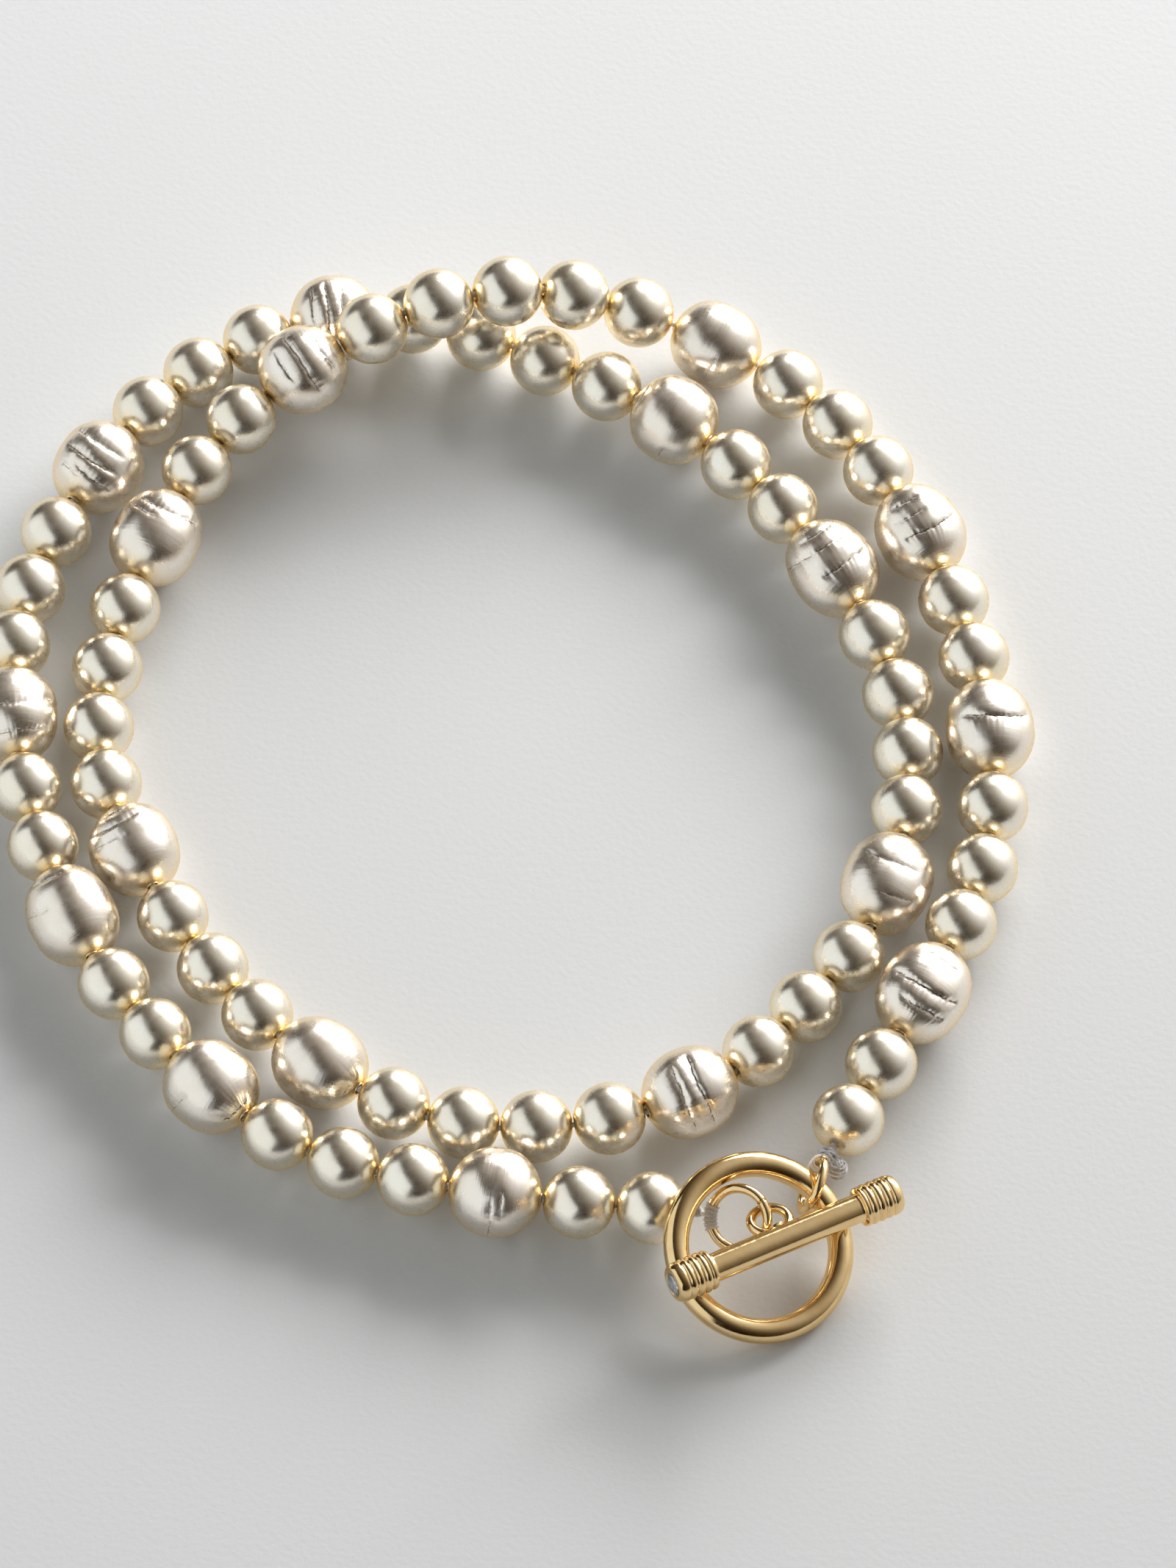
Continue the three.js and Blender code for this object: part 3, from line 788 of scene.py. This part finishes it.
def knot(name, centre, axis, radius, thread_radius, node, seed):
    """A ball of thread drawn tight: one long path wound round and round a lumpy ball. radius is the
    ball's, and axis is the way its windings stand."""
    chance = np.random.default_rng(seed)
    side, rise = across(axis, not_along(axis))
    t = np.linspace(0, 1, 720)
    a = 2 * np.pi * 23 * t
    b = 2 * np.pi * 5.3 * t + 0.7
    uneven = 0.86 + 0.1 * np.sin(9 * t * 6.3 + chance.random() * 6) - 0.12 * np.cos(b)
    direction = np.stack([np.cos(a) * np.sin(b), np.sin(a) * np.sin(b), np.cos(b)], 1)
    path = centre + ((radius - thread_radius) * uneven)[:, None] * (
        direction[:, :1] * side + direction[:, 1:2] * rise + 1.05 * direction[:, 2:] * axis)
    thread(name, path, {"radius": thread_radius, **KNOT_THREAD}, node)


def tie(name, pearl, knot_at, held, node):
    """The thread from the last pearl through the knot to just short of the jump ring."""
    stop = held + TIE_GAP * unit(knot_at - held)
    path = [pearl, (pearl + knot_at) / 2, knot_at, knot_at * 0.4 + stop * 0.6, stop]
    thread(name, path, TIE, node)


def thread_ends(meets):
    """The two jump rings, and the thread that ties each to the strand."""
    start_way, end_way = unit(meets[0] - meets[1]), unit(meets[-1] - meets[-2])
    knot_a = meets[0] + start_way * (0.25 + KNOT_A)
    knot_b = meets[-1] + end_way * (0.2 + KNOT_B)
    at_bar, at_ring = bar_link(), ring_link(knot_b)
    jump_ring("jump_ring_at_bar", at_bar, "bar_link", start=1.1)
    jump_ring("jump_ring_at_ring", at_ring, "ring_link", start=2.4)
    whipping("whipping_at_bar", at_bar, "thread_end_bar", turns=15)
    knot("knot_at_bar", knot_a, start_way, KNOT_A, 0.17, "thread_end_bar", seed=7)
    whipping("whipping_at_ring", at_ring, "thread_end_ring", turns=12)
    knot("knot_at_ring", knot_b, end_way, KNOT_B, 0.15, "thread_end_ring", seed=8)
    knot("knot_tail_at_ring", knot_b + KNOT_TAIL, UP, 1.3, 0.14, "thread_end_ring", seed=9)
    tie("tie_at_bar", meets[0], knot_a, at_bar["held"], "thread_end_bar")
    tie("tie_at_ring", meets[-1], knot_b, at_ring["held"], "thread_end_ring")


# ---- table, lights and camera ----
TABLE_HALF = 4.0            # metres, and so are the distances and sizes of the lights
KEY_WAY = (0.46, 0.78, 0.42)
PANEL_WAY = (-0.9, -0.36, 0.5)
GLOW_WAY = (0.754, 0.503, 0.4225)
GLOW_SEEN, GLOW_CAST = 1.5, 0.5     # strength of the room's glow in mirror images, and as light cast


def table_material():
    material, tree, shader = new_material("pale_table")
    place = frame_place(tree)
    cloud = noise(tree, place, 3.0, 3)
    fill(tree, shader, {
        "Base Color": ramp(tree, cloud, [(0.3, (0.86, 0.86, 0.855)), (0.7, (0.83, 0.83, 0.825))]),
        "Normal": bump(tree, noise(tree, place, 1400, 3), 0.00003),
        "Roughness": 0.6, "Specular IOR Level": 0.25,
    })
    return material


def table():
    corners = [(x * TABLE_HALF, y * TABLE_HALF, 0) for x, y in ((-1, -1), (1, -1), (1, 1), (-1, 1))]
    mesh = bpy.data.meshes.new("table")
    mesh.from_pydata(corners, [], [(0, 1, 2, 3)])
    mesh.materials.append(table_material())
    obj = bpy.data.objects.new("table", mesh)
    bpy.context.scene.collection.objects.link(obj)


def softbox(name, direction, distance, width, height, power, colour):
    """A large soft light that faces the necklace from the given direction."""
    light = bpy.data.lights.new(name, "AREA")
    light.shape = "RECTANGLE"
    light.size, light.size_y = width, height
    light.energy, light.color = power, colour
    obj = bpy.data.objects.new(name, light)
    way = Vector(unit(direction))
    obj.location = way * distance
    obj.rotation_euler = way.to_track_quat("Z", "Y").to_euler()
    obj.visible_camera = False
    bpy.context.scene.collection.objects.link(obj)


def room():
    """The room round the table: dark and brownish, with a wide pale glow to one side."""
    world = bpy.data.worlds.new("studio")
    bpy.context.scene.world = world
    world.use_nodes = True
    tree = world.node_tree
    way = put(tree, "ShaderNodeTexCoord").outputs["Generated"]
    towards = put(tree, "ShaderNodeVectorMath", {0: way, 1: GLOW_WAY}, operation="DOT_PRODUCT")
    glow = ramp(tree, spread(tree, towards.outputs["Value"], -1, 1, 0, 1), [
        (0.35, (0.009, 0.006, 0.003)), (0.5, (0.023, 0.016, 0.010)), (0.64, (0.060, 0.047, 0.033)),
        (0.77, (0.165, 0.146, 0.120)), (0.91, (0.42, 0.41, 0.395)), (0.96, (0.64, 0.64, 0.63)),
        (1.0, (0.85, 0.85, 0.85))])
    # the glow is seen in the pearls and the gold more than it fills the shadows
    cast = put(tree, "ShaderNodeLightPath").outputs["Is Diffuse Ray"]
    strength = spread(tree, cast, 0, 1, GLOW_SEEN, GLOW_CAST)
    fill(tree, tree.nodes["Background"], {"Color": glow, "Strength": strength})


def camera():
    data = bpy.data.cameras.new("camera")
    data.lens = CAMERA_LENS
    data.sensor_width = 36
    data.clip_end = 20
    obj = bpy.data.objects.new("camera", data)
    obj.location = (CAMERA_TARGET + TO_CAMERA * CAMERA_DISTANCE) * MM
    obj.rotation_euler = (math.pi / 2 - CAMERA_ELEVATION, 0, 0)
    bpy.context.scene.collection.objects.link(obj)
    bpy.context.scene.camera = obj


camera()
thread_meets = strand()
clasp_ring()
toggle_bar()
thread_ends(thread_meets)
table()
softbox("key_softbox", KEY_WAY, distance=1.1, width=1.0, height=0.52, power=17.5, colour=(1.0, 1.0, 1.0))
softbox("side_panel", PANEL_WAY, distance=0.9, width=2.3, height=1.1, power=7.2, colour=(0.93, 0.98, 1.0))
room()
bpy.context.scene.view_settings.view_transform = "Standard"
